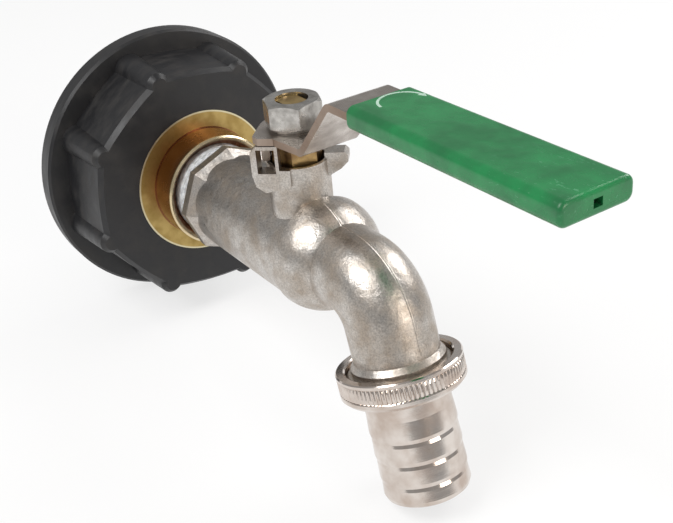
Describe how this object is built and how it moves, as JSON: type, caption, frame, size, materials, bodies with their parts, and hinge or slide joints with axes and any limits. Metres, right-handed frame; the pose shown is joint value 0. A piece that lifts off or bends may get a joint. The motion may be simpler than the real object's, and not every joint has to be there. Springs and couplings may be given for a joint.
{
  "type": "tank outlet ball valve",
  "caption": "Lever ball valve with a black screw cap that fits a bulk container outlet, a brass insert, a green-gripped lever and a tilted hose tail under a knurled union nut.",
  "frame": {"origin": "centre of the cap's open mouth, on the flow axis", "axes": "+X along the flow axis from the tank to the spout, +Z along the valve stem towards the lever, +Y across"},
  "size_m": [0.179, 0.08, 0.1019],
  "materials": {
    "black_polypropylene": "moulded, satin",
    "black_rubber": "smooth",
    "yellow_brass": "machined",
    "nickel_cast": "nickel plated over a blasted brass casting",
    "nickel_bright": "nickel plated, polished",
    "ptfe_white": "smooth",
    "ptfe_tape": "thin wrapped tape",
    "zinc_steel": "zinc plated",
    "stainless": "stamped, brushed",
    "green_pvc": "dip moulded, semi gloss"
  },
  "bodies": {
    "valve": {"tank_cap": "black_polypropylene", "tank_gasket": "black_rubber", "cap_insert": "yellow_brass", "insert_o_ring": "black_rubber", "insert_lock_nut": "yellow_brass", "thread_tape": "ptfe_tape", "valve_body": "nickel_cast", "seat_retainer": "yellow_brass", "inlet_seat": "ptfe_white", "outlet_seat": "ptfe_white", "packing_ring": "ptfe_white", "gland_nut": "yellow_brass"},
    "lever_and_stem": {"stem": "yellow_brass", "stem_thrust_washer": "ptfe_white", "stem_o_rings": "black_rubber", "lever": "stainless", "lever_washer": "zinc_steel", "lever_nut": "zinc_steel", "lever_sleeve": "green_pvc"},
    "ball": {"ball": "nickel_bright"},
    "hose_tail": {"hose_tail": "nickel_bright", "hose_gasket": "black_rubber"},
    "hose_nut": {"hose_nut": "nickel_bright"}
  },
  "joints": [
    {"name": "lever_turn", "type": "hinge", "parent": "valve", "child": "lever_and_stem", "pos_m": [0.0804, 0, 0.03], "axis": [0, 0, 1], "range_deg": [-90, 0]},
    {"name": "ball_turn", "type": "hinge", "parent": "valve", "child": "ball", "pos_m": [0.0804, 0, 0], "axis": [0, 0, 1], "range_deg": [-90, 0]},
    {"name": "tail_draw", "type": "slide", "parent": "valve", "child": "hose_tail", "axis": [0.2756, 0, -0.9613], "range_m": [0, 0.0045]},
    {"name": "nut_spin", "type": "hinge", "parent": "hose_tail", "child": "hose_nut", "pos_m": [0.1175, 0, -0.016], "axis": [0.2756, 0, -0.9613], "range_deg": [-893.1, 0]}
  ],
  "couplings": [
    {"joint": "ball_turn", "follows": "lever_turn", "ratio": 1},
    {"joint": "nut_spin", "follows": "tail_draw", "rad_per_m": -3463.7}
  ]
}
